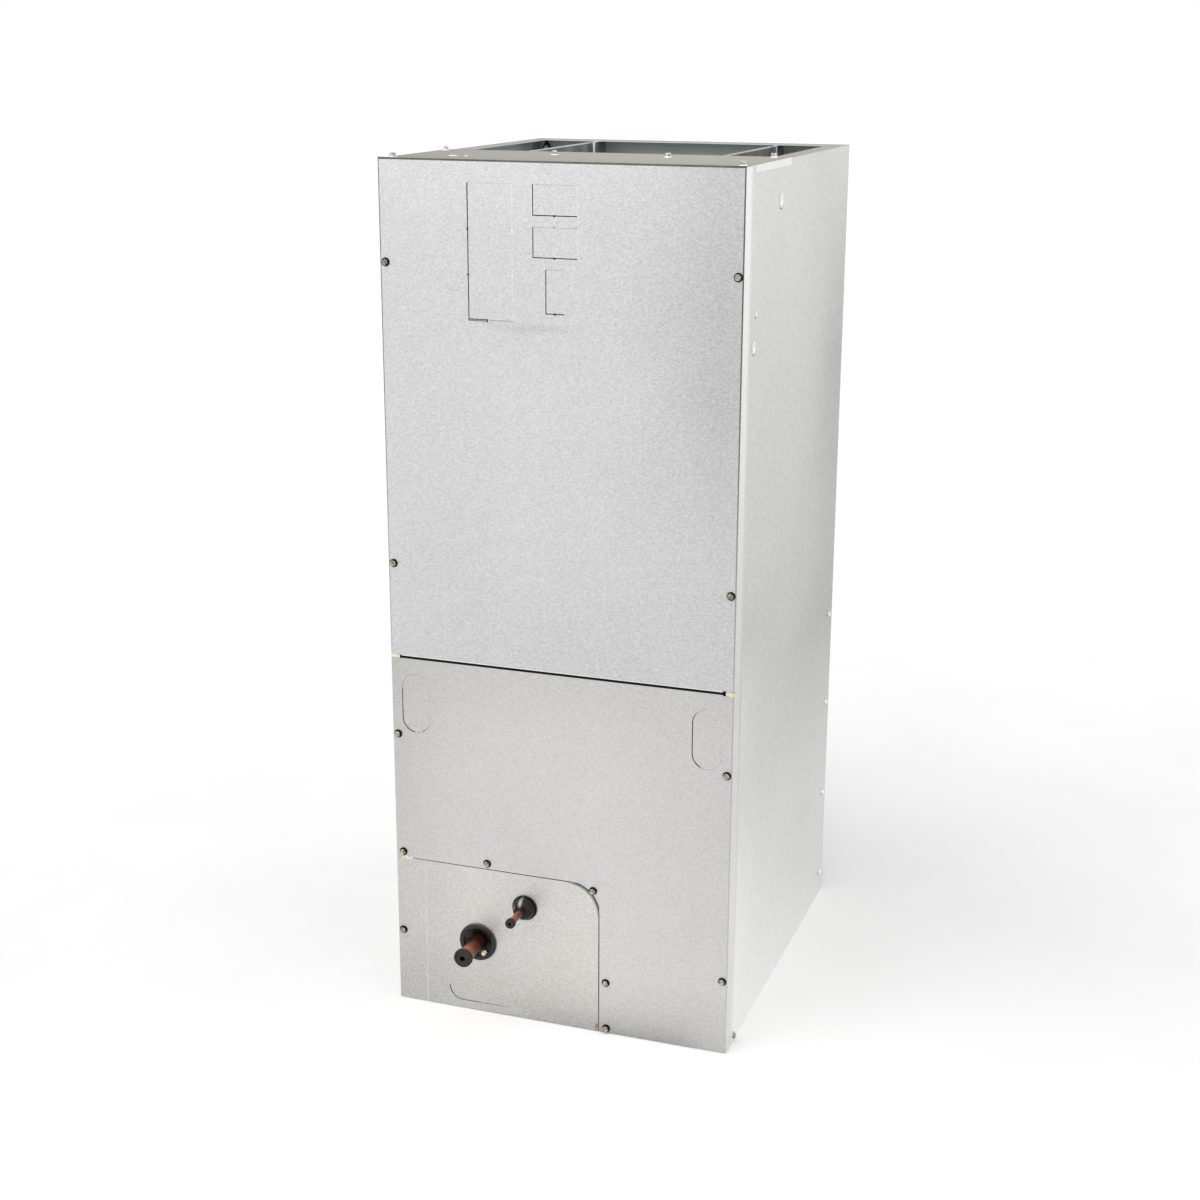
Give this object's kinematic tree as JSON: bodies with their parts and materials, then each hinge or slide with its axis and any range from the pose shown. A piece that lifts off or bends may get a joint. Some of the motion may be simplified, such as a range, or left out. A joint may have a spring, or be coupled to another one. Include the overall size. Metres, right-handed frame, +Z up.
{
  "type": "air handling unit",
  "caption": "Upright air handling unit: a galvanised sheet cabinet with front access panels, a pipe plate with capped copper stubs, a coil and a blower under an open supply top.",
  "frame": {"origin": "middle of the cabinet's foot, on the floor plane", "axes": "+Z up, -Y out of the front panels, +X to the right seen from the front"},
  "size_m": [0.47, 0.605, 1.144],
  "materials": {
    "galvanised_sheet": "satin",
    "black_foam": "matte",
    "black_rubber": "satin",
    "copper": "satin",
    "black_plastic": "matte",
    "motor_paint": "satin",
    "coil_fins": "satin"
  },
  "bodies": {
    "root": {"left_side_panel": "galvanised_sheet", "right_side_panel": "galvanised_sheet", "back_panel": "galvanised_sheet", "base_frame": "galvanised_sheet", "middle_rail": "galvanised_sheet", "seam_gasket": "black_foam", "blower_access_panel": "galvanised_sheet", "coil_access_panel": "galvanised_sheet", "pipe_plate": "galvanised_sheet", "top_front_plate": "galvanised_sheet", "suction_grommet": "black_rubber", "liquid_grommet": "black_rubber", "suction_stub": "copper", "liquid_stub": "copper", "suction_cap": "black_rubber", "liquid_cap": "black_rubber", "blower_deck": "galvanised_sheet", "left_collar_plate": "galvanised_sheet", "right_collar_plate": "galvanised_sheet", "front_collar_plate": "galvanised_sheet", "corner_clip": "black_plastic", "scroll_wrap": "galvanised_sheet", "scroll_left_plate": "galvanised_sheet", "scroll_right_plate": "galvanised_sheet", "left_inlet_ring": "galvanised_sheet", "right_inlet_ring": "galvanised_sheet", "wheel_blades": "galvanised_sheet", "wheel_rings": "galvanised_sheet", "wheel_disc": "galvanised_sheet", "blower_motor": "motor_paint", "motor_mount": "galvanised_sheet", "drain_pan": "black_plastic", "left_coil_slab": "coil_fins", "right_coil_slab": "coil_fins", "coil_front_plate": "galvanised_sheet", "coil_back_plate": "galvanised_sheet", "coil_cap": "galvanised_sheet"}
  },
  "joints": []
}
